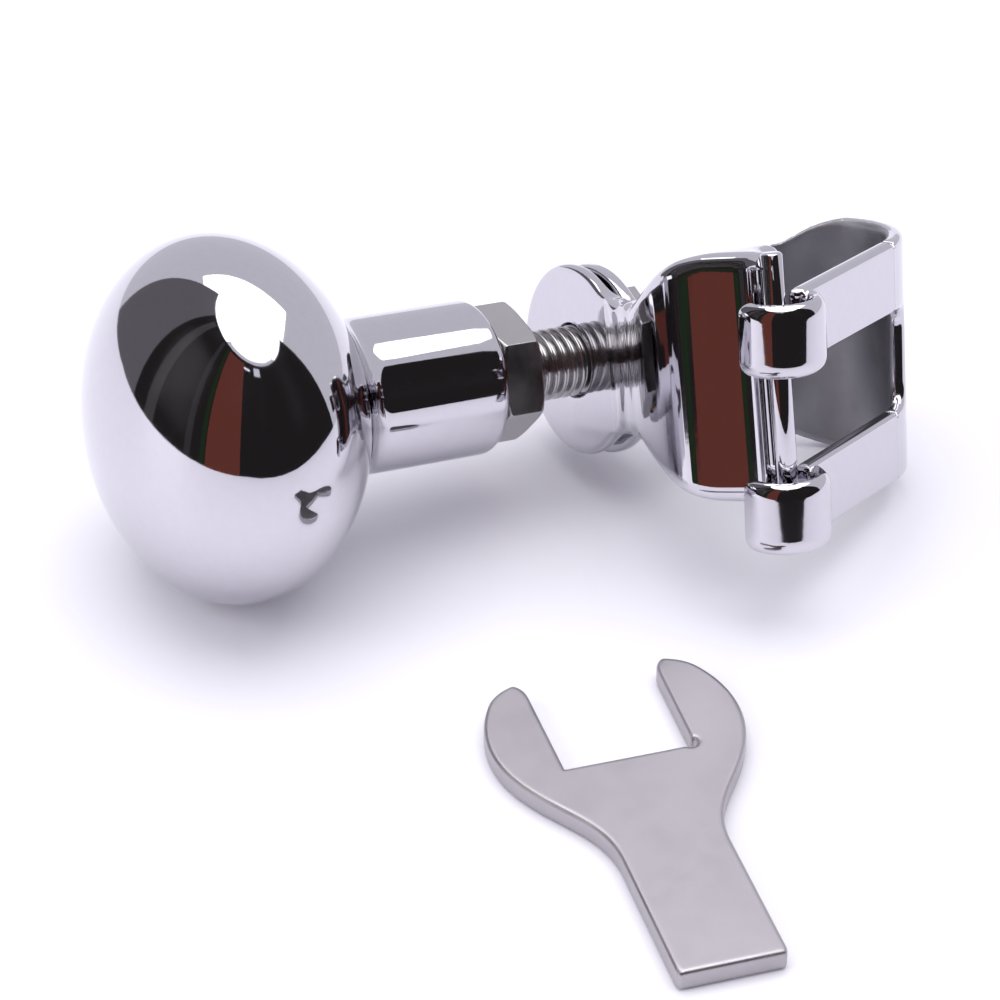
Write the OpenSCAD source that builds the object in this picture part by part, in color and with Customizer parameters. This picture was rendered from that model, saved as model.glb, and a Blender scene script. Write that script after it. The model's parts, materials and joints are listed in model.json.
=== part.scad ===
// Steering wheel spinner knob with a hinged rim clamp, lying on a table beside its wrench.
// Every clamp and knob piece is drawn in the clamp's own frame and then laid on the table:
// x runs along the stud from the knob to the clamp, z along the wheel rim that the clamp holds,
// and the centre of the rim is the origin.

/* [Knob] */
// Diameter of the knob at its widest
knob_d = 50; // [44:1:54]
// Height of the outer dome above the widest circle
dome_h = 17.3; // [14:0.1:19]
// Height of the inner dome, if it were not cut by the barrel
shoulder_h = 18.6; // [14:0.1:20]
// Distance from the widest circle to the hex flange
knob_reach = 39; // [36:0.5:44]
// Diameter of the barrel
barrel_d = 21.6; // [20:0.1:23]
// Radius of the hollow blend between inner dome and barrel
blend_r = 4.5; // [3:0.5:6]
// Wall of the hollow knob
shell_t = 1.5; // [1:0.1:2]

/* [Spindle] */
// Width across the flats of the hex flange
hex_af = 17; // [16:0.5:19]
// Thickness of the hex flange
hex_t = 6; // [4:0.5:8]
// Outside diameter of the stud's thread
stud_d = 10; // [8:1:10]
// Bare stud between hex flange and front ear
stud_gap = 9.4; // [6:0.1:12]
// Stud beyond the front ear
stud_tail = 9.6; // [9:0.1:10]
// Diameter of the journal that the knob turns on
journal_d = 12; // [10:0.5:13]
// Length of the journal inside the barrel
journal_l = 26; // [24:0.5:28]

/* [Front jaw] */
// Half the height of the jaw, along the rim
jaw_hz = 16.8; // [15:0.1:17]
// Radius of the saddle that the rim lies in
rim_r = 10.65; // [10:0.05:10.65]
// Distance from the rim's centre to the stud
stud_y = 22.3; // [22:0.1:23]
// Front face of the front ear, ahead of the rim's centre
ear_front = 16; // [15.5:0.1:16.5]
// Thickness of the front ear
ear_t = 2.2; // [2:0.1:3]
// Radius of both ears
ear_r = 13.5; // [12:0.5:14]
// Half the height of the necks that carry the ears
neck_hz = 8.4; // [7:0.1:10]

/* [Hinge] */
// Radius of the hinge bar
bar_r = 1.5; // [1.2:0.1:1.6]
// Bar ahead of the rim's centre
bar_x = 8.9; // [8.5:0.1:9.2]
// Bar below the rim's centre, on the side away from the stud
bar_y = 19.7; // [19.5:0.1:20]

/* [Strap] */
// Thickness of the strap
strap_t = 2.3; // [2:0.1:2.6]
// Inside radius of the strap's bend
strap_r = 9.8; // [9.7:0.1:10.2]
// Half the height of the strap
strap_hz = 17.2; // [16:0.1:18]
// Half the height of the strap's window
window_hz = 7.3; // [6:0.1:8]
// Thickness of the rear ear
rear_ear_t = 2.4; // [2:0.1:3]
// Slack swivel of the strap about the stud, in degrees
slack_swivel = 7.25; // [0:0.25:7.25]
// Slack tip of the strap on the stud, in degrees
slack_tip = 2; // [0:0.5:2]
// Slack drop of the strap's hole on the stud
slack_drop = 0.4; // [0:0.1:0.5]

/* [Clamp nut] */
// Width across the flats of the thin M10 nut
nut_af = 16; // [15:0.5:16]
// Height of the nut
nut_h = 4; // [3:0.5:4]

/* [Wrench] */
// Opening between the wrench's jaws
wrench_gap = 17.3; // [17.1:0.1:17.6]
// Radius of the wrench's head
head_r = 16.9; // [15:0.1:18]
// Depth of the opening below the tips
jaw_depth = 18.2; // [16:0.1:20]
// Width of the handle
handle_w = 14.2; // [12:0.5:16]
// Length from the bottom of the opening to the handle's end
handle_l = 40; // [35:0.5:60]
// Thickness of the wrench
wrench_t = 3; // [2.5:0.1:4]

/* [Pose on the table] */
// Slope of the stud down towards the clamp, in degrees
lie_slope = 8.2; // [6:0.1:12]
// Roll about the stud, in degrees
lie_roll = 25; // [20:0.5:30]
// Height of the rim's centre above the table
lie_h = 24.3; // [15:0.01:30]

/* [Hidden] */

// Finishes
polished = "silver";
satin = "darkgray";
bronze = "darkgoldenrod";

// Running clearance of a shaft in its hole, on the radius
run = 0.05;
// Gap that keeps two faces apart
gap = 0.3;
// Overlap that joins or cuts through cleanly
over = 0.1;

// Stations along the stud, from the rim's centre
hex_right = -ear_front - stud_gap;
hex_left = hex_right - hex_t;
knob_x = hex_left - knob_reach;
barrel_end = hex_left - gap;
journal_end = hex_left - journal_l;
stud_end = -ear_front + stud_tail;
ear_back = -ear_front + ear_t;

// Knob profile
knob_r = knob_d / 2;
barrel_r = barrel_d / 2;
profile_steps = 36;
lip_r = 1.6;

// Bearing inside the barrel
sleeve_r = barrel_r - shell_t;
bush_r = 7.5;
bush_l = 8;
flange_r = 9;
flange_t = 1;
thrust_t = 1;
sleeve_left = journal_end + 5.5;
sleeve_right = barrel_end - 2;
ring_groove_r = 5;
ring_t = 1;
ring_x = journal_end + 2.2;

// Saddle: how far the jaw wraps round the rim on the hinge side and on the ear side, in degrees
near_wrap = 80;
far_wrap = 51;
// Foremost face of the jaw
jaw_front = 18.1;
// Side of the jaw towards the stud, where the ear's neck begins
jaw_far = 8.7;
jaw_near = 23;
// Trough that frees the middle of the bar
trough_r = 2.4;
// Webs that carry the ends of the bar
web_h = 2.2;

// Hook of the strap round the bar
hook_in = 3.8;
hook_out = 6.1;
hook_tip = 165;
hook_h = 10.3;

// Strap
bend = [13, 3.7];
bend_out = strap_r + strap_t;
near_slope = 28.5;
far_slope = 5.8;
arm_l = 27;
bend_steps = 40;
rear_ear_x = -ear_front + ear_t + 1.2;
rear_ear_back = rear_ear_x + rear_ear_t;
window_angle = -40;
hole_r = stud_d / 2 + 0.6;
nut_x = rear_ear_back + 0.7;
nut_bore_r = stud_d / 2 + run;

// Wrench on the table, in the part's frame
wrench_at = [-44.3, -43.2];
wrench_turn = -102;

// ---------------------------------------------------------------- placing

// Lays a piece of the clamp or knob on the table
module laid() {
    rotate([0, lie_slope, 0]) rotate([-lie_roll, 0, 0]) children();
}

// Turns a piece drawn along z onto the stud, with z = 0 at station x
module on_stud(x) {
    translate([x, stud_y, 0]) rotate([0, 90, 0]) children();
}

// Turns the strap about the stud and tips it in the gap between the ears
module swivelled(angle, tip) {
    translate([rear_ear_x, stud_y, tip > 0 ? -slack_drop : 0]) rotate([angle, -tip, 0])
        translate([-rear_ear_x, -stud_y, 0]) children();
}

// Pie of a circle between two angles, for cuts
module pie(r, from, to) {
    step = (to - from) / 8;
    polygon(concat([[0, 0]], [for (i = [0:8]) r * 1.2 * [cos(from + i * step), sin(from + i * step)]]));
}

module ring(r_out, r_in, h) {
    difference() {
        cylinder(r = r_out, h = h, $fn = 96);
        translate([0, 0, -over]) cylinder(r = r_in, h = h + 2 * over, $fn = 96);
    }
}

// ---------------------------------------------------------------- knob

// Half outlines of the domes as [radius, height], from the pole to the widest circle
function dome_arc(r, h, from, to) = [
    for (i = [0:profile_steps])
        let (a = from + (to - from) * i / profile_steps) [r * cos(a), h * sin(a)]
];

// Where the inner dome and the blend meet, found from the blend's centre
blend_c = barrel_r + blend_r;
meet_a = acos(blend_c / (knob_r + blend_r * 0.82));
meet = [knob_r * cos(meet_a), shoulder_h * sin(meet_a)];
blend_top = meet[1] + blend_r * 0.86;

// Quarter curve from the inner dome to the barrel, tangent to both
function blend_arc(t) = [
    for (i = [1:12])
        let (s = i / 12, u = 1 - s)
        [
            u * u * (meet[0] - 0) + 2 * u * s * (barrel_r + 0.25) + s * s * barrel_r - t,
            u * u * meet[1] + 2 * u * s * (meet[1] + 1.6) + s * s * (blend_top + 1.4)
        ]
];

module knob_dome() {
    color(polished) laid() on_stud(knob_x) difference() {
        rotate([180, 0, 0]) rotate_extrude($fn = 128)
            polygon(concat([[0, 0]], dome_arc(knob_r, dome_h, 0, 90)));
        rotate([180, 0, 0]) translate([0, 0, -over]) rotate_extrude($fn = 128)
            polygon(concat([[0, 0]], dome_arc(knob_r - shell_t, dome_h - shell_t + over, 0, 90)));
    }
}

module knob_base() {
    top = barrel_end - knob_x;
    color(polished) laid() on_stud(knob_x) difference() {
        rotate_extrude($fn = 128) polygon(concat(
            [[0, 0]], dome_arc(knob_r, shoulder_h, 0, meet_a), blend_arc(0),
            [
                [barrel_r, top - lip_r],
                for (i = [1:6]) [
                    barrel_r - lip_r + lip_r * cos(i * 15), top - lip_r + lip_r * sin(i * 15)
                ],
                [0, top]
            ]
        ));
        translate([0, 0, -over]) rotate_extrude($fn = 128) polygon(concat(
            [[0, 0]], dome_arc(knob_r - shell_t, shoulder_h - shell_t + over, 0, 55), [[0, 11.5]]
        ));
        cylinder(r = sleeve_r, h = sleeve_right - knob_x, $fn = 128);
        cylinder(r = flange_r + gap, h = top + over, $fn = 128);
    }
}

module bearing_sleeve() {
    color(satin) laid() on_stud(sleeve_left) ring(sleeve_r, bush_r, sleeve_right - sleeve_left);
}

module flanged_bush() {
    difference() {
        union() {
            translate([0, 0, -flange_t]) cylinder(r = flange_r, h = flange_t, $fn = 96);
            translate([0, 0, -over]) cylinder(r = bush_r, h = bush_l, $fn = 96);
        }
        translate([0, 0, -flange_t - over])
            cylinder(r = journal_d / 2 + run, h = bush_l + flange_t + 2 * over, $fn = 96);
    }
}

module outer_bush() {
    color(bronze) laid() on_stud(sleeve_right) rotate([180, 0, 0]) flanged_bush();
}

module inner_bush() {
    color(bronze) laid() on_stud(sleeve_left) flanged_bush();
}

module outer_thrust_washer() {
    color(satin) laid() on_stud(sleeve_right + flange_t)
        ring(flange_r - gap, journal_d / 2 + run, thrust_t);
}

module inner_thrust_washer() {
    color(satin) laid() on_stud(sleeve_left - flange_t - thrust_t)
        ring(flange_r - gap, journal_d / 2 + run, thrust_t);
}

module retaining_ring() {
    mouth = 4.4;
    color(satin) laid() on_stud(ring_x) difference() {
        ring(journal_d / 2 + 1.9, ring_groove_r, ring_t);
        translate([0, -mouth / 2, -over]) cube([knob_r, mouth, ring_t + 2 * over]);
    }
}

// ---------------------------------------------------------------- spindle

module spindle() {
    color(satin) laid() {
        on_stud(hex_left) intersection() {
            cylinder(r = hex_af / sqrt(3), h = hex_t, $fn = 6);
            union() {
                cylinder(r = hex_af / sqrt(3), h = hex_t - 1.2, $fn = 96);
                translate([0, 0, hex_t - 1.2 - over])
                    cylinder(r1 = hex_af / sqrt(3), r2 = hex_af / 2 - 0.3, h = 1.2 + over, $fn = 96);
            }
        }
        on_stud(hex_right - over) cylinder(r = stud_d / 2, h = stud_end - hex_right + over, $fn = 96);
        on_stud(journal_end) difference() {
            cylinder(r = journal_d / 2, h = hex_left - journal_end + over, $fn = 96);
            translate([0, 0, ring_x - journal_end]) ring(journal_d, ring_groove_r, ring_t);
        }
    }
}

// ---------------------------------------------------------------- front jaw

// Plan of the jaw block before its saddle and trough are cut
module jaw_plan() {
    polygon([
        [-ear_front, jaw_far + 3], [-ear_front, jaw_far - 0.4], [-jaw_front + 1.3, jaw_far - 3.4],
        [-jaw_front + 0.4, jaw_far - 6.4], [-jaw_front, -0.7], [-jaw_front + 0.1, -4.7],
        [-jaw_front + 0.8, -8.1], [-jaw_front + 2.3, -10.4], [-bar_x - 2.2, -bar_y + 2.8],
        [-bar_x - 2.2, -bar_y - 0.3], [-bar_x + 2.2, -bar_y - 0.3], [-bar_x + 2.2, -bar_y + 1.8],
        [-6.9, -15], [-5.2, -13.2], [-2.2, -11.9],
        [-rim_r * cos(near_wrap) + 0.5, -rim_r * sin(near_wrap) - 0.6],
        [0, 0],
        [-rim_r * cos(far_wrap) + 0.4, rim_r * sin(far_wrap) + 0.6], [-7.4, jaw_far - 0.2],
        [ear_back + 1, jaw_far - 0.4], [ear_back, jaw_far + 0.6], [ear_back, jaw_far + 3]
    ]);
}

// Front view of the jaw block, drawn in towards the ear like a bottle's shoulder
module jaw_front_view() {
    side = [
        [neck_hz, stud_y], [neck_hz, jaw_far], [neck_hz + 0.6, 5], [10.4, 2], [12.5, -1], [14.5, -4],
        [jaw_hz - 0.9, -7], [jaw_hz - 0.15, -10], [jaw_hz, -12], [jaw_hz, -jaw_near - 2]
    ];
    other = [for (i = [len(side) - 1:-1:0]) [-side[i][0], side[i][1]]];
    polygon(concat(side, other));
}

module front_jaw() {
    color(polished) laid() difference() {
        union() {
            intersection() {
                linear_extrude(height = 2 * jaw_hz, center = true) jaw_plan();
                translate([-30, 0, 0]) rotate([0, 90, 0])
                    linear_extrude(height = 60) jaw_front_view();
            }
            on_stud(-ear_front) cylinder(r = ear_r, h = ear_t, $fn = 128);
        }
        translate([0, 0, -jaw_hz - over]) cylinder(r = rim_r, h = 2 * (jaw_hz + over), $fn = 128);
        translate([-bar_x, -bar_y, 0]) {
            translate([0, 0, -jaw_hz + web_h]) cylinder(r = trough_r, h = 2 * (jaw_hz - web_h), $fn = 64);
            translate([0, 0, -jaw_hz - over]) cylinder(r = bar_r, h = 2 * (jaw_hz + over), $fn = 64);
        }
        on_stud(-ear_front - over) cylinder(r = stud_d / 2 + run, h = ear_t + 2 * over, $fn = 96);
    }
}

module hinge_bar() {
    color(polished) laid() translate([-bar_x, -bar_y, -jaw_hz])
        cylinder(r = bar_r, h = 2 * jaw_hz, $fn = 64);
}

// ---------------------------------------------------------------- strap

// One face of the strap's band at radius r of the bend, from the hook to the rear ear
function band_face(r) =
    let (
        from = near_slope - 90, to = 90 + far_slope,
        far_l = (bend[0] - rear_ear_x - strap_r * sin(far_slope)) / cos(far_slope) - 0.8
    )
    concat(
        [bend + r * [cos(from), sin(from)] - arm_l * [-sin(from), cos(from)]],
        [for (i = [0:bend_steps]) let (a = from + (to - from) * i / bend_steps) bend + r * [cos(a), sin(a)]],
        [bend + r * [cos(to), sin(to)] + far_l * [-sin(to), cos(to)]]
    );

// Plan of the strap: near arm, bend and far arm as one band
module strap_plan() {
    inner = band_face(strap_r);
    polygon(concat(band_face(bend_out), [for (i = [len(inner) - 1:-1:0]) inner[i]]));
    translate([rear_ear_x + over, jaw_far + 1.4]) square([rear_ear_t - 2 * over, 4]);
}

module hook_plan() {
    translate([-bar_x, -bar_y]) intersection() {
        difference() {
            circle(r = hook_out, $fn = 96);
            circle(r = hook_in, $fn = 96);
        }
        pie(hook_out, hook_tip, 360);
    }
}

// End view of the band, its corners round towards the ear
module band_view() {
    s = bend[1];
    top = s + bend_out + 1;
    side = [
        [strap_hz, -jaw_near - 20], [strap_hz, s + 5.5], [strap_hz - 0.6, s + 7.8], [15.7, s + 9.3],
        [14.1, s + 10.4], [12.8, s + 10.8], [11.4, s + 11.3], [neck_hz + 0.4, top]
    ];
    other = [for (i = [len(side) - 1:-1:0]) [-side[i][0], side[i][1]]];
    polygon(concat(side, other));
}

// Room above and below the far arm's neck
module beside_neck() {
    for (side = [0, 1]) mirror([0, 0, side])
        translate([rear_ear_x - 5, bend[1] + 2, neck_hz]) cube([bend[0] - rear_ear_x + 4.2, 20, 20]);
}

module strap_window() {
    linear_extrude(height = 2 * window_hz, center = true) polygon([
        bend, bend + 40 * [cos(window_angle), sin(window_angle)], [40, -50], [-40, -50], [-40, -12],
        [-bar_x, -12]
    ]);
}

module strap() {
    color(polished) laid() swivelled(slack_swivel, slack_tip) difference() {
        union() {
            difference() {
                intersection() {
                    linear_extrude(height = 2 * strap_hz, center = true) strap_plan();
                    translate([rear_ear_x - 5, 0, 0]) rotate([90, 0, 90])
                        linear_extrude(height = 60) rotate(90) mirror([0, 1]) band_view();
                }
                beside_neck();
                strap_window();
            }
            for (side = [-1, 1]) translate([0, 0, side * (strap_hz - hook_h / 2)])
                linear_extrude(height = hook_h, center = true) hook_plan();
            on_stud(rear_ear_x) cylinder(r = ear_r, h = rear_ear_t, $fn = 128);
        }
        on_stud(rear_ear_x - over) cylinder(r = hole_r, h = rear_ear_t + 2 * over, $fn = 96);
    }
}

module clamp_nut() {
    color(satin) laid() swivelled(slack_swivel, 0) on_stud(nut_x) difference() {
        cylinder(r = nut_af / sqrt(3), h = nut_h, $fn = 6);
        translate([0, 0, -over]) cylinder(r = nut_bore_r, h = nut_h + 2 * over, $fn = 96);
    }
}

// ---------------------------------------------------------------- wrench

module wrench_plan() {
    head_y = 6.1;
    difference() {
        union() {
            translate([0, head_y]) circle(r = head_r, $fn = 96);
            translate([-handle_w / 2, -handle_l]) square([handle_w, handle_l]);
        }
        translate([-wrench_gap / 2, 0]) square([wrench_gap, 3 * head_r]);
        translate([-3 * head_r, jaw_depth]) square([6 * head_r, head_r]);
    }
}

module wrench() {
    color(satin) translate([wrench_at[0], wrench_at[1], -lie_h]) rotate([0, 0, wrench_turn + 90])
        linear_extrude(height = wrench_t) wrench_plan();
}

knob_dome();
knob_base();
bearing_sleeve();
outer_bush();
inner_bush();
outer_thrust_washer();
inner_thrust_washer();
retaining_ring();
spindle();
front_jaw();
hinge_bar();
strap();
clamp_nut();
wrench();
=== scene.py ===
"""Steering wheel spinner knob with its hinged rim clamp, loose, on a pale table beside its wrench."""

import json
from math import cos, pi, radians, sin

import bpy
import numpy as np
from mathutils import Matrix, Vector


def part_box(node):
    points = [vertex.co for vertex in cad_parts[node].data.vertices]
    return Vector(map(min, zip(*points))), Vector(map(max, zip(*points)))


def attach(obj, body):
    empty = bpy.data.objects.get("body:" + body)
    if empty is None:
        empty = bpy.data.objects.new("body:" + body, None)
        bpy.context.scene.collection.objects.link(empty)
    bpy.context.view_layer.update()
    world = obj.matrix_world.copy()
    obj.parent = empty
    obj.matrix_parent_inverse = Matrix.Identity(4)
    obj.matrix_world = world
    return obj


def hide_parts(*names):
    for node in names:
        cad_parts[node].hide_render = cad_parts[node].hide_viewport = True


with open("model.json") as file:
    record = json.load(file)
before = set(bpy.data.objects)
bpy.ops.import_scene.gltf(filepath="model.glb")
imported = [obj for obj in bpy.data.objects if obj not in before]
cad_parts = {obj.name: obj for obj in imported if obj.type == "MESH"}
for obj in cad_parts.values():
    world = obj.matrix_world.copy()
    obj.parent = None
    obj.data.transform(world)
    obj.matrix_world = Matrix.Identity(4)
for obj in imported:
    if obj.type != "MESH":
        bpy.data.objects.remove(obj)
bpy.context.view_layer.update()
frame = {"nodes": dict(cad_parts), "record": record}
record = frame["record"]

MM = 0.001
TABLE_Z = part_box("wrench")[0][2]

# ------------------------------------------------------------------ the clamp's own frame
# x runs along the stud, z along the wheel rim; the rim clamp's centre is the origin.
joints = {j["name"]: j for j in record["behaviour"]["joints"]}
mount = record["mounts"][0]
EX = Vector(joints["spindle_feed"]["axis"]).normalized()
EZ = Vector(mount["axis"]).normalized()
EY = EZ.cross(EX)
LAID = Matrix((EX, EY, EZ)).transposed().to_4x4()

RIM_R = mount["dims"]["r_mm"]
STUD_Y = 22.3
EAR_FRONT = -16.0
EAR_T = 2.2
EAR_R = 13.5
HEX_RIGHT = EAR_FRONT - 9.4
HEX_T = 6.0
HEX_AF = 17.0
HEX_LEFT = HEX_RIGHT - HEX_T
KNOB_X = HEX_LEFT - 39.0
KNOB_R = 25.0
DOME_H = 17.3
SHOULDER_H = 18.6
BARREL_R = 10.8
BARREL_EDGE = 1.4
MOUTH_R = 9.3
JOURNAL_R = 6.0
PITCH = 1.5
THREAD_CREST = 4.97
THREAD_ROOT = 4.06
BAR = np.array([-8.9, -19.7])
BAR_R = 1.5
TROUGH_R = 2.5
EYE_H = 2.2
JAW_HZ = 16.8
STRAP_HZ = 17.2
REAR_EAR = EAR_FRONT + EAR_T + 1.2
REAR_EAR_T = 2.4
SWIVEL = radians(7.25)
TIP = radians(2.0)
DROP = 0.4


def slack(swivel=SWIVEL, tip=TIP, drop=DROP):
    """The loose strap's place on the stud, in the clamp's frame."""
    pivot = Matrix.Translation((REAR_EAR, STUD_Y, 0))
    turn = Matrix.Rotation(-tip, 4, "Y") @ Matrix.Rotation(swivel, 4, "X")
    return Matrix.Translation((REAR_EAR, STUD_Y, -drop)) @ turn @ pivot.inverted()


# ------------------------------------------------------------------ meshes
GRID = 0.34


def place(points, matrix):
    """Points in millimetres, from a piece's own frame to metres in the part's frame."""
    m = np.array(LAID @ matrix)
    return (np.asarray(points) @ m[:3, :3].T + m[:3, 3]) * MM


def turn_normals(normals, matrix):
    m = np.array(LAID @ matrix)[:3, :3]
    return np.asarray(normals) @ m.T


def make_object(name, points, faces, normals=None):
    mesh = bpy.data.meshes.new(name)
    mesh.from_pydata([tuple(p) for p in points], [], [tuple(f) for f in faces])
    mesh.update()
    mesh.polygons.foreach_set("use_smooth", [True] * len(mesh.polygons))
    if normals is not None:
        mesh.normals_split_custom_set_from_vertices([tuple(n) for n in normals])
    obj = bpy.data.objects.new(name, mesh)
    bpy.context.scene.collection.objects.link(obj)
    return obj


def lathe(name, profile, matrix, steps=160):
    """Turns a list of [x, radius] about the stud axis; a radius of zero closes an end."""
    profile = np.array(profile, float)
    angles = np.linspace(0, 2 * pi, steps, endpoint=False)
    rows = []
    points = []
    for x, r in profile:
        if r < 1e-6:
            rows.append([len(points)])
            points.append((x, 0, 0))
        else:
            rows.append(list(range(len(points), len(points) + steps)))
            points.extend((x, r * cos(a), r * sin(a)) for a in angles)
    faces = []
    for a, b in zip(rows, rows[1:]):
        for i in range(steps):
            j = (i + 1) % steps
            if len(a) == 1:
                faces.append((a[0], b[j], b[i]))
            elif len(b) == 1:
                faces.append((a[i], a[j], b[0]))
            else:
                faces.append((a[i], a[j], b[j], b[i]))
    return make_object(name, place(points, matrix), faces)


def signed_mesh(name, field, low, high, step, matrix):
    """Meshes the zero level of a signed distance field in the clamp's frame."""
    axes = [np.arange(l, h + step, step) for l, h in zip(low, high)]
    grid = np.stack(np.meshgrid(*axes, indexing="ij"), -1)
    shape = grid.shape[:3]
    values = np.empty(shape)
    for i in range(shape[0]):
        values[i] = field(grid[i].reshape(-1, 3)).reshape(shape[1:])
    inside = values < 0
    corners = [
        (a, b, c) for a in (0, 1) for b in (0, 1) for c in (0, 1)
    ]

    def cut(v, c):
        return v[
            c[0]:shape[0] - 1 + c[0], c[1]:shape[1] - 1 + c[1], c[2]:shape[2] - 1 + c[2]
        ]

    count = sum(cut(inside, c).astype(int) for c in corners)
    cells = np.argwhere((count > 0) & (count < 8))
    index = -np.ones(tuple(s - 1 for s in shape), int)
    index[tuple(cells.T)] = np.arange(len(cells))
    total = np.zeros((len(cells), 3))
    hits = np.zeros(len(cells))
    for c in corners:
        for axis in range(3):
            if c[axis]:
                continue
            d = list(c)
            d[axis] = 1
            va = values[tuple((cells + c).T)]
            vb = values[tuple((cells + d).T)]
            crossing = (va < 0) != (vb < 0)
            t = np.where(crossing, va / np.where(crossing, va - vb, 1), 0)
            p = np.tile(np.array(c, float), (len(cells), 1))
            p[:, axis] += t
            total[crossing] += p[crossing]
            hits[crossing] += 1
    points = np.array([a[0] for a in axes]) + (cells + total / hits[:, None]) * step
    faces = []
    for axis in range(3):
        u, v = [(1, 2), (2, 0), (0, 1)][axis]
        low_side = [slice(0, s) for s in shape]
        high_side = [slice(0, s) for s in shape]
        low_side[axis] = slice(0, shape[axis] - 1)
        high_side[axis] = slice(1, shape[axis])
        a = inside[tuple(low_side)]
        b = inside[tuple(high_side)]
        for out, flip in ((a & ~b, False), (~a & b, True)):
            e = np.argwhere(out)
            quad = []
            for du, dv in ((-1, -1), (0, -1), (0, 0), (-1, 0)):
                k = e.copy()
                k[:, u] += du
                k[:, v] += dv
                quad.append(index[tuple(k.T)])
            quad = np.stack(quad, 1)
            faces.append(quad[:, ::-1] if flip else quad)
    faces = np.concatenate(faces)

    def slope(p):
        h = 0.02
        g = np.stack(
            [field(p + h * np.eye(3)[i]) - field(p - h * np.eye(3)[i]) for i in range(3)], 1
        )
        return g / (2 * h)

    for _ in range(3):
        g = slope(points)
        move = field(points)[:, None] * g / np.maximum((g * g).sum(1), 0.25)[:, None]
        points = points - np.clip(move, -0.4 * step, 0.4 * step)
    g = slope(points)
    normals = g / np.maximum(np.linalg.norm(g, axis=1), 1e-6)[:, None]
    obj = make_object(name, place(points, matrix), faces, turn_normals(normals, matrix))
    return obj, points, faces


# ------------------------------------------------------------------ signed distances, in mm
def smooth_max(a, b, k):
    h = np.maximum(k - np.abs(a - b), 0) / k
    return np.maximum(a, b) + h * h * k / 4


def smooth_min(a, b, k):
    return -smooth_max(-a, -b, k)


def polygon(p, corners):
    """Exact distance to a closed outline."""
    v = np.array(corners, float)
    w = np.roll(v, -1, axis=0)
    best = np.full(len(p), 1e9)
    odd = np.zeros(len(p), bool)
    for a, b in zip(v, w):
        e = b - a
        d = p - a
        t = np.clip(d @ e / (e @ e), 0, 1)
        q = d - t[:, None] * e
        best = np.minimum(best, (q * q).sum(1))
        cross = (a[1] > p[:, 1]) != (b[1] > p[:, 1])
        with np.errstate(divide="ignore", invalid="ignore"):
            x = a[0] + (p[:, 1] - a[1]) * e[0] / (e[1] if e[1] else 1e-9)
        odd ^= cross & (p[:, 0] < x)
    return np.where(odd, -1, 1) * np.sqrt(best)


def disc(p, x0, x1, r, edge):
    """A disc across the stud axis with its rim rounded."""
    radial = np.hypot(p[:, 1] - STUD_Y, p[:, 2]) - r
    flat = np.abs(p[:, 0] - (x0 + x1) / 2) - (x1 - x0) / 2
    return smooth_max(radial, flat, edge)


def smooth_curve(corners, rounds=2):
    """Chaikin's corner cutting, for soft outlines."""
    v = np.array(corners, float)
    for _ in range(rounds):
        w = np.roll(v, -1, axis=0)
        v = np.stack([0.75 * v + 0.25 * w, 0.25 * v + 0.75 * w], 1).reshape(-1, 2)
    return v


def mirrored(half):
    """Adds the same outline on the other side of zero."""
    return half + [(-x, y) for x, y in reversed(half)]


NECK = 8.4
JAW_PLAN = smooth_curve(
    [
        (-16, 11), (-16, 9), (-16.3, 7), (-17.1, 5), (-17.8, 2.3), (-18.1, -0.7),
        (-18, -4.7), (-17.4, -7.9), (-15.9, -10.2), (-13.5, -13.4), (-11.3, -16.5),
        (-11.1, -17.8), (-11.1, -20), (-6.7, -20), (-6.7, -17.6), (-6.9, -15), (-5.2, -13.2),
        (-2.1, -11.9), (-1.8, -10.2), (0, 0),
        (-6, 8.1), (-7.4, 8.5), (-10, 8.4), (-12.6, 8.3), (-13.8, 9.6), (-13.8, 11),
    ],
    2,
)
JAW_SIDE = smooth_curve(
    mirrored([
        (NECK, 24), (NECK, 9.5), (NECK + 0.7, 5), (10.4, 2), (12.5, -1), (14.5, -4), (15.9, -7),
        (16.7, -10), (JAW_HZ, -13), (JAW_HZ, -28),
    ]),
    2,
)


def jaw_field(p):
    """Jaw block, neck and front ear, with the saddle, the bar's trough and the stud's hole cut."""
    plan = polygon(p[:, :2], JAW_PLAN)
    side = polygon(np.stack([p[:, 2], p[:, 1]], 1), JAW_SIDE)
    body = smooth_max(plan, side, 2.6)
    neck_x = np.abs(p[:, 0] - (EAR_FRONT + EAR_T / 2)) - EAR_T / 2
    neck = smooth_max(smooth_max(neck_x, np.abs(p[:, 2]) - NECK, 1.2), np.abs(p[:, 1] - 14) - 8, 1)
    ear = disc(p, EAR_FRONT, EAR_FRONT + EAR_T, EAR_R, 1.1)
    solid = smooth_min(smooth_min(ear, neck, 3.0), body, 3.0)
    front = EAR_FRONT - 0.32 * np.maximum(12 - p[:, 1], 0)
    solid = smooth_max(solid, front - p[:, 0], 0.4)
    saddle = RIM_R - np.hypot(p[:, 0], p[:, 1])
    solid = smooth_max(solid, saddle, 0.8)
    bar = np.hypot(p[:, 0] - BAR[0], p[:, 1] - BAR[1])
    trough = np.maximum(bar - TROUGH_R, np.abs(p[:, 2]) - (JAW_HZ - EYE_H))
    solid = smooth_max(solid, -trough, 0.5)
    solid = smooth_max(solid, BAR_R + 0.02 - bar, 0.3)
    bore = 5.25 - np.hypot(p[:, 1] - STUD_Y, p[:, 2])
    return smooth_max(solid, bore, 0.4)


BEND = np.array([13.0, 3.7])
STRAP_R = 9.8
STRAP_T = 2.3
HOOK_MID_R = 4.95
HOOK_T = 2.3
HOOK_TIP = 165
HOOK_H = 10.3
WINDOW_HZ = 7.1
NEAR = radians(28.5 - 90)
FAR = radians(90 + 5.8)


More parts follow.
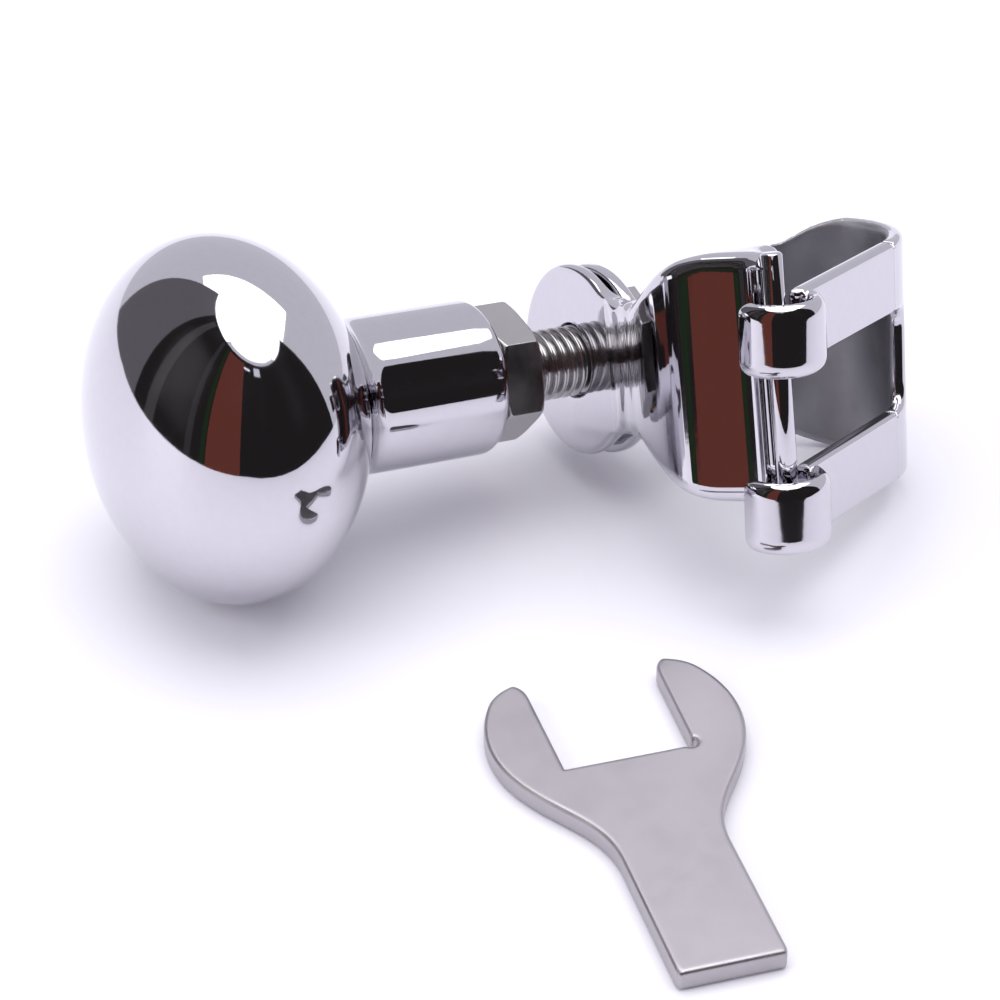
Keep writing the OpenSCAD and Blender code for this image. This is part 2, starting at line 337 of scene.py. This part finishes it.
def arm(p, angle, length, sign):
    """Straight arm leaving the bend at an angle of its circle; sign -1 runs back, 1 on."""
    n = np.array([cos(angle), sin(angle)])
    t = np.array([-sin(angle), cos(angle)]) * sign
    d = p - BEND
    across = np.abs(d @ n - (STRAP_R + STRAP_T / 2)) - STRAP_T / 2
    along = np.abs(d @ t - length / 2) - length / 2
    return np.maximum(across, along)


def strap_ring(p):
    """The bend between the strap's two straight arms, seen along the rim."""
    d = p - BEND
    ring = np.abs(np.hypot(d[:, 0], d[:, 1]) - (STRAP_R + STRAP_T / 2)) - STRAP_T / 2
    a = np.arctan2(d[:, 1], d[:, 0])
    past = np.maximum(NEAR - a, a - FAR) * np.hypot(d[:, 0], d[:, 1])
    return np.maximum(ring, past)


STRAP_SIDE = smooth_curve(
    mirrored([
        (NECK, 30), (NECK, BEND[1] + 12.3), (11.4, BEND[1] + 11.3), (12.8, BEND[1] + 10.8),
        (14.1, BEND[1] + 10.4), (15.7, BEND[1] + 9.3), (16.6, BEND[1] + 7.8),
        (STRAP_HZ, BEND[1] + 5.5), (STRAP_HZ, -40),
    ]),
    1,
)


def strap_field(p):
    """Far arm with its neck and ear, bend, near arm with its window, and the two hooks."""
    q = p[:, :2]
    far = arm(q, FAR, 25.5, 1)
    neck = np.maximum(np.abs(p[:, 0] - (REAR_EAR + 1.2)) - 1.2, np.abs(p[:, 1] - 13) - 2.7)
    far = smooth_min(far, neck, 2.5)
    far = smooth_max(far, np.abs(p[:, 2]) - NECK, 0.9)
    near = smooth_min(strap_ring(q), arm(q, NEAR, 27, -1), 0.2)
    bar = np.hypot(q[:, 0] - BAR[0], q[:, 1] - BAR[1])
    hook = np.abs(bar - HOOK_MID_R) - HOOK_T / 2
    angle = np.degrees(np.arctan2(q[:, 1] - BAR[1], q[:, 0] - BAR[0])) % 360
    hook = smooth_max(hook, (HOOK_TIP - angle) * bar * pi / 180, 1.4)
    height = np.abs(np.abs(p[:, 2]) - (STRAP_HZ - HOOK_H / 2)) - HOOK_H / 2
    hook = smooth_max(hook, height, 2.2)
    side = polygon(np.stack([p[:, 2], p[:, 1]], 1), STRAP_SIDE)
    near = smooth_max(near, side, 1.1)
    ear = disc(p, REAR_EAR, REAR_EAR + REAR_EAR_T, EAR_R, 1.0)
    body = smooth_min(near, far, 1.0)
    d = q - BEND
    a = np.degrees(np.arctan2(d[:, 1], d[:, 0]))
    beyond = np.maximum((a + 40) * np.hypot(d[:, 0], d[:, 1]) * pi / 180, q[:, 1] - 2)
    window = smooth_max(np.abs(p[:, 2]) - WINDOW_HZ, beyond, 3.2)
    body = smooth_max(body, -window, 1.0)
    body = smooth_min(body, hook, 0.8)
    body = smooth_min(body, ear, 2.2)
    front = REAR_EAR - 0.3 * np.maximum(11 - p[:, 1], 0)
    body = smooth_max(body, front - p[:, 0], 0.4)
    rear = np.minimum(p[:, 0] - REAR_EAR - REAR_EAR_T, p[:, 1] - 16.2)
    body = smooth_max(body, rear, 0.4)
    bore = 5.6 - np.hypot(p[:, 1] - STUD_Y, p[:, 2])
    return smooth_max(body, bore, 0.4)


def hex_field(p):
    """The hex, its corners cut back by a cone at both ends."""
    y = p[:, 1] - STUD_Y
    z = p[:, 2]
    flat = np.full(len(p), -1e9)
    for k in range(3):
        n = (cos(k * pi / 3), sin(k * pi / 3))
        flat = np.maximum(flat, np.abs(y * n[0] + z * n[1]) - HEX_AF / 2 + 0.025)
    mid = (HEX_LEFT + HEX_RIGHT) / 2
    ends = np.abs(p[:, 0] - mid) - HEX_T / 2
    cone = (np.hypot(y, z) - 9.45) * 0.5 + (np.abs(p[:, 0] - mid) - HEX_T / 2 + 0.35) * 0.86
    return smooth_max(smooth_max(flat, ends, 0.35), cone, 0.3)


# ------------------------------------------------------------------ the knob
def knob_profile():
    """Outline from the dome's pole, over the widest circle, down the blend, to the barrel's mouth."""
    out = []
    for i in range(61):
        a = pi / 2 * (1 - i / 60)
        out.append((KNOB_X - DOME_H * sin(a), KNOB_R * cos(a)))
    meet = radians(52.5)
    for i in range(1, 45):
        a = meet * i / 44
        out.append((KNOB_X + SHOULDER_H * sin(a), KNOB_R * cos(a)))
    x0, r0 = out[-1]
    slope = (-KNOB_R * sin(meet), SHOULDER_H * cos(meet))
    x3, r3 = x0 + 5.4, BARREL_R
    k = (r3 + 0.15 - r0) / slope[0]
    x1, r1 = x0 + slope[1] * k * 0.85, r0 + slope[0] * k * 0.85
    x2, r2 = x0 + 3.1, BARREL_R
    for i in range(1, 25):
        t = i / 24
        u = 1 - t
        b = (u ** 3, 3 * u * u * t, 3 * u * t * t, t ** 3)
        x = b[0] * x0 + b[1] * x1 + b[2] * x2 + b[3] * x3
        r = b[0] * r0 + b[1] * r1 + b[2] * r2 + b[3] * r3
        out.append((x, r))
    end = HEX_LEFT - 0.3
    round_x = end - BARREL_EDGE
    for i in range(1, 9):
        out.append((x3 + (round_x - x3) * i / 8, BARREL_R))
    for i in range(1, 13):
        a = pi / 2 * i / 12
        out.append((round_x + BARREL_EDGE * sin(a), BARREL_R - BARREL_EDGE + BARREL_EDGE * cos(a)))
    out += [(end, MOUTH_R + 0.05), (end, MOUTH_R), (end - 2, MOUTH_R), (end - 2, 7), (end - 2, 0)]
    return out


I4 = Matrix.Identity(4)
STUD = Matrix.Translation((0, STUD_Y, 0))
knob = lathe("knob", knob_profile(), STUD, 192)
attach(knob, "knob")
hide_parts("knob_dome", "knob_base")


def threaded_stud():
    """The stud, with a real right-hand helix, a plain neck at the hex and a chamfered end."""
    start, end = HEX_RIGHT - 0.5, EAR_FRONT + 9.6
    steps = 96
    n = int((end - start) / (PITCH / 14))
    xs = np.linspace(start, end, n + 1)
    angles = np.linspace(0, 2 * pi, steps, endpoint=False)
    points = [(start, STUD_Y, 0)]
    for x in xs:
        phase = ((x - start) / PITCH - angles / (2 * pi)) % 1
        tooth = np.clip(np.abs(phase - 0.5) * 2 * 1.5 - 0.22, 0, 1)
        tooth = tooth * tooth * (3 - 2 * tooth)
        r = THREAD_CREST - (THREAD_CREST - THREAD_ROOT) * tooth
        r = np.minimum(r, THREAD_CREST - max(0, x - (end - 0.9)))
        if x < HEX_RIGHT + 0.7:
            r = np.minimum(r, 4.3)
        points.extend(zip(np.full(steps, x), STUD_Y + r * np.cos(angles), r * np.sin(angles)))
    points.append((end, STUD_Y, 0))
    last = len(points) - 1
    faces = []
    for j in range(steps):
        k = (j + 1) % steps
        faces.append((0, 1 + k, 1 + j))
        for i in range(n):
            a = 1 + i * steps
            faces.append((a + j, a + k, a + steps + k, a + steps + j))
        faces.append((last, 1 + n * steps + j, 1 + n * steps + k))
    return make_object("stud", place(points, I4), faces)


stud = threaded_stud()
hexagon, _, _ = signed_mesh(
    "spindle_hex", hex_field, (HEX_LEFT - 0.7, STUD_Y - 10.6, -10.6),
    (HEX_RIGHT + 0.7, STUD_Y + 10.6, 10.6), 0.24, I4,
)
journal = lathe(
    "spindle_journal",
    [
        (HEX_LEFT - 26, 0), (HEX_LEFT - 26, JOURNAL_R - 0.4), (HEX_LEFT - 25.6, JOURNAL_R),
        (HEX_LEFT + 0.4, JOURNAL_R), (HEX_LEFT + 0.4, 0),
    ],
    STUD, 96,
)
for o in (stud, hexagon, journal):
    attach(o, "spindle")
    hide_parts("spindle")

jaw, _, _ = signed_mesh("jaw", jaw_field, (-19.2, -23.6, -18), (0.6, 37, 18), GRID, I4)
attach(jaw, "clamp")
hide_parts("front_jaw")

bar = lathe(
    "bar",
    [
        (-JAW_HZ, 0), (-JAW_HZ, BAR_R - 0.3), (-JAW_HZ + 0.3, BAR_R),
        (JAW_HZ - 0.3, BAR_R), (JAW_HZ, BAR_R - 0.3), (JAW_HZ, 0),
    ],
    Matrix.Translation((BAR[0], BAR[1], 0)) @ Matrix.Rotation(-pi / 2, 4, "Y"), 64,
)
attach(bar, "clamp")
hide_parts("hinge_bar")

strap, strap_points, strap_faces = signed_mesh(
    "strap_band", strap_field, (-16.4, -27, -18.4), (26.4, 37, 18.4), GRID, slack()
)
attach(strap, "strap")
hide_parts("strap")


# ------------------------------------------------------------------ the wrench
HEAD_R = 16.9
HEAD_Y = 6.1
HANDLE_HALF_W = 7.1
HANDLE_L = 40
MOUTH_HALF_W = 8.65
WRENCH_T = 3.0
WRENCH_TURN = radians(-12)
WRENCH_AT = (-44.3, -43.2)


def wrench_field(p):
    """Flat wrench with its handle along -y and the bottom of its mouth at y = 0."""
    x, y = p[:, 0], p[:, 1]
    q = p[:, :2]
    w, m = HANDLE_HALF_W, MOUTH_HALF_W
    head = np.hypot(x, y - HEAD_Y) - HEAD_R
    handle = polygon(q, [(-w, 4), (w, 4), (w, -HANDLE_L), (-w, -HANDLE_L)])
    plan = smooth_min(head, handle, 9.0)
    mouth = polygon(q, [(-m, 0), (m, 0), (9.3, 40), (-9.3, 40)])
    notch = np.hypot(x - 8.3, y - 0.5) - 0.9
    plan = smooth_max(plan, -np.minimum(mouth, notch), 0.5)
    plan = smooth_max(plan, y - 18.4, 3.4)
    plan = smooth_max(plan, 0.1 - HANDLE_L - y, 1.6)
    return smooth_max(plan, np.abs(p[:, 2]) - WRENCH_T / 2, 0.7)


lying = Matrix.Translation((*WRENCH_AT, TABLE_Z / MM + WRENCH_T / 2)) @ Matrix.Rotation(WRENCH_TURN, 4, "Z")
wrench, _, _ = signed_mesh(
    "open_wrench", wrench_field, (-18, -41.2, -2), (18, 19.4, 2), 0.3, LAID.inverted() @ lying
)
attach(wrench, "wrench")
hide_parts("wrench")


# ------------------------------------------------------------------ materials
def steel(name, colour, rough, spread, bump=0.02, stretch=(1, 1, 1), grain=900, smudge=60):
    """Steel with polishing marks, faint smudges and small pits."""
    mat = bpy.data.materials.new(name)
    mat.use_nodes = True
    nodes, links = mat.node_tree.nodes, mat.node_tree.links
    bsdf = nodes["Principled BSDF"]
    bsdf.inputs["Metallic"].default_value = 1.0
    coords = nodes.new("ShaderNodeTexCoord")
    mapping = nodes.new("ShaderNodeMapping")
    mapping.inputs["Scale"].default_value = stretch
    links.new(coords.outputs["Object"], mapping.inputs["Vector"])
    fine = nodes.new("ShaderNodeTexNoise")
    fine.inputs["Scale"].default_value = grain
    fine.inputs["Detail"].default_value = 4
    links.new(mapping.outputs["Vector"], fine.inputs["Vector"])
    soft = nodes.new("ShaderNodeTexNoise")
    soft.inputs["Scale"].default_value = smudge
    soft.inputs["Detail"].default_value = 3
    links.new(coords.outputs["Object"], soft.inputs["Vector"])
    ramp = nodes.new("ShaderNodeMapRange")
    ramp.inputs["From Min"].default_value = 0.35
    ramp.inputs["From Max"].default_value = 0.75
    ramp.inputs["To Min"].default_value = rough
    ramp.inputs["To Max"].default_value = rough + spread
    links.new(soft.outputs["Fac"], ramp.inputs["Value"])
    links.new(ramp.outputs["Result"], bsdf.inputs["Roughness"])
    tint = nodes.new("ShaderNodeMixRGB")
    tint.inputs["Color1"].default_value = (*[c * 0.93 for c in colour], 1)
    tint.inputs["Color2"].default_value = (*colour, 1)
    links.new(fine.outputs["Fac"], tint.inputs["Fac"])
    links.new(tint.outputs["Color"], bsdf.inputs["Base Color"])
    relief = nodes.new("ShaderNodeBump")
    relief.inputs["Strength"].default_value = bump
    relief.inputs["Distance"].default_value = 0.0001
    links.new(fine.outputs["Fac"], relief.inputs["Height"])
    links.new(relief.outputs["Normal"], bsdf.inputs["Normal"])
    return mat


POLISHED = steel("polished", (0.63, 0.615, 0.665), 0.03, 0.05, 0.02)
DULL = steel("unpolished", (0.34, 0.335, 0.36), 0.38, 0.14, 0.25, grain=5200, smudge=400)
TURNED = steel("turned", (0.52, 0.505, 0.51), 0.14, 0.12, 0.08, (1, 8, 8), 1600, 160)
SATIN = steel("satin", (0.47, 0.445, 0.475), 0.36, 0.10, 0.10, (1, 1, 1), 7000, 260)
BRONZE = steel("bronze", (0.55, 0.36, 0.16), 0.35, 0.1, 0.2)


def dress(obj, *mats):
    obj.data.materials.clear()
    for mat in mats:
        obj.data.materials.append(mat)


for o in (knob, jaw, bar):
    dress(o, POLISHED)
for o in (stud, hexagon, journal):
    dress(o, TURNED)
dress(wrench, SATIN)
dress(strap, POLISHED, DULL)
centres = strap_points[strap_faces].mean(1)[:, :2]
rel = centres - BEND
ring_r = np.hypot(rel[:, 0], rel[:, 1])
near_n = np.array([cos(NEAR), sin(NEAR)])
far_n = np.array([cos(FAR), sin(FAR)])
depth = np.maximum.reduce([
    np.where(rel[:, 0] > -2, ring_r, -1), rel @ near_n,
    np.where(centres[:, 0] > REAR_EAR + 2.6, rel @ far_n, -1),
])
hooked = np.hypot(centres[:, 0] - BAR[0], centres[:, 1] - BAR[1]) < 7
inner = (depth < STRAP_R + 0.45) & ~hooked & (centres[:, 0] > REAR_EAR + 2.2)
strap.data.polygons.foreach_set("material_index", inner.astype(int))
for node in ("bearing_sleeve", "outer_thrust_washer", "inner_thrust_washer", "retaining_ring", "clamp_nut"):
    dress(frame["nodes"][node], TURNED)
for node in ("outer_bush", "inner_bush"):
    dress(frame["nodes"][node], BRONZE)


# ------------------------------------------------------------------ table, light and reflections
def plain(name, colour, strength=None):
    mat = bpy.data.materials.new(name)
    mat.use_nodes = True
    nodes = mat.node_tree.nodes
    bsdf = nodes["Principled BSDF"]
    bsdf.inputs["Base Color"].default_value = (*colour, 1)
    bsdf.inputs["Roughness"].default_value = 0.6
    if strength is not None:
        bsdf.inputs["Base Color"].default_value = (0, 0, 0, 1)
        bsdf.inputs["Specular IOR Level"].default_value = 0
        bsdf.inputs["Emission Color"].default_value = (*colour, 1)
        bsdf.inputs["Emission Strength"].default_value = strength
    return mat


floor_mesh = bpy.data.meshes.new("floor")
s = 0.5
floor_mesh.from_pydata(
    [(-s, -s, TABLE_Z), (s, -s, TABLE_Z), (s, s, TABLE_Z), (-s, s, TABLE_Z)], [], [(0, 1, 2, 3)]
)
floor = bpy.data.objects.new("floor", floor_mesh)
bpy.context.scene.collection.objects.link(floor)
floor.data.materials.append(plain("paper", (0.86, 0.85, 0.90)))


def card(name, az, el, colour, strength, radius=0.9, steps=14):
    """A curved panel seen only in reflections; az and el are its limits in degrees round the part."""
    points = []
    for i in range(steps + 1):
        a = radians(az[0] + (az[1] - az[0]) * i / steps)
        for e in el:
            e = radians(e)
            points.append((radius * sin(a) * cos(e), -radius * cos(a) * cos(e), radius * sin(e)))
    faces = [(2 * i, 2 * i + 1, 2 * i + 3, 2 * i + 2) for i in range(steps)]
    mesh = bpy.data.meshes.new(name)
    mesh.from_pydata(points, [], faces)
    obj = bpy.data.objects.new(name, mesh)
    bpy.context.scene.collection.objects.link(obj)
    mesh.materials.append(plain(name, colour, strength))
    obj.visible_camera = False
    obj.visible_diffuse = False
    obj.visible_shadow = False
    obj.visible_transmission = False
    return obj


card("room", (-158, 62), (-9, 62), (0.020, 0.017, 0.018), 1.0, 0.95, 40)
card("wall_grey", (-158, -124), (-9, 62), (0.15, 0.14, 0.155), 1.0, 0.93)
card("wall_edge", (-116, -110), (-9, 60), (0.075, 0.07, 0.07), 1.0, 0.92)
card("wall_line", (-90, -86), (-9, 60), (0.045, 0.042, 0.045), 1.0, 0.92)
card("cloth_green", (-80, -77), (-9, 60), (0.018, 0.034, 0.016), 1.0, 0.92)
card("cloth_brown", (-76, -50), (-9, 60), (0.155, 0.045, 0.033), 1.0, 0.92)
card("window_a", (-64, -40), (30, 58), (0.80, 0.84, 0.95), 1.6, 0.9)
card("window_b", (-33, -22), (28, 60), (0.9, 0.92, 0.98), 0.9, 0.9)
card("window_c", (14, 34), (18, 54), (0.85, 0.86, 0.9), 1.1, 0.9)
card("shelf", (-30, 4), (10, 14), (0.16, 0.135, 0.12), 1.0, 0.9)
card("ceiling_light", (-80, 20), (64, 72), (1.0, 1.0, 1.0), 2.2, 0.9)


def area(name, where, at, size, power, colour=(1, 1, 1)):
    data = bpy.data.lights.new(name, "AREA")
    data.shape = "RECTANGLE"
    data.size, data.size_y = size
    data.energy = power
    data.color = colour
    obj = bpy.data.objects.new(name, data)
    obj.location = where
    obj.rotation_euler = (Vector(at) - Vector(where)).to_track_quat("-Z", "Y").to_euler()
    bpy.context.scene.collection.objects.link(obj)
    return obj


area("top", (0.1, 0.15, 1.1), (0, 0, 0), (1.4, 1.1), 10)
area("left", (-1.0, 0.2, 0.5), (0, 0, 0), (0.5, 0.8), 4)

world = bpy.data.worlds.new("world")
bpy.context.scene.world = world
world.use_nodes = True
background = world.node_tree.nodes["Background"]
background.inputs["Color"].default_value = (0.80, 0.79, 0.86, 1)
background.inputs["Strength"].default_value = 0.9

# ------------------------------------------------------------------ camera
az, el, roll = radians(-28.4), radians(10.5), radians(-5)
back = Vector((sin(az) * cos(el), -cos(az) * cos(el), sin(el)))
right = (-back).cross(Vector((0, 0, 1))).normalized()
up = right.cross(-back)
level = right * cos(roll) + up * sin(roll)
raised = up * cos(roll) - right * sin(roll)
aim = Vector((HEX_RIGHT, STUD_Y, 0)) - level * 1.92 - raised * 18.1
turned = LAID.to_3x3()
camera_data = bpy.data.cameras.new("camera")
camera_data.lens = 129.3
camera_data.sensor_width = 36
camera_data.clip_start = 0.01
camera = bpy.data.objects.new("camera", camera_data)
bpy.context.scene.collection.objects.link(camera)
axes = Matrix((turned @ level, turned @ raised, turned @ back)).transposed().to_4x4()
camera.matrix_world = Matrix.Translation((turned @ (aim + back * 500)) * MM) @ axes
bpy.context.scene.camera = camera

bpy.context.scene.view_settings.view_transform = "Standard"
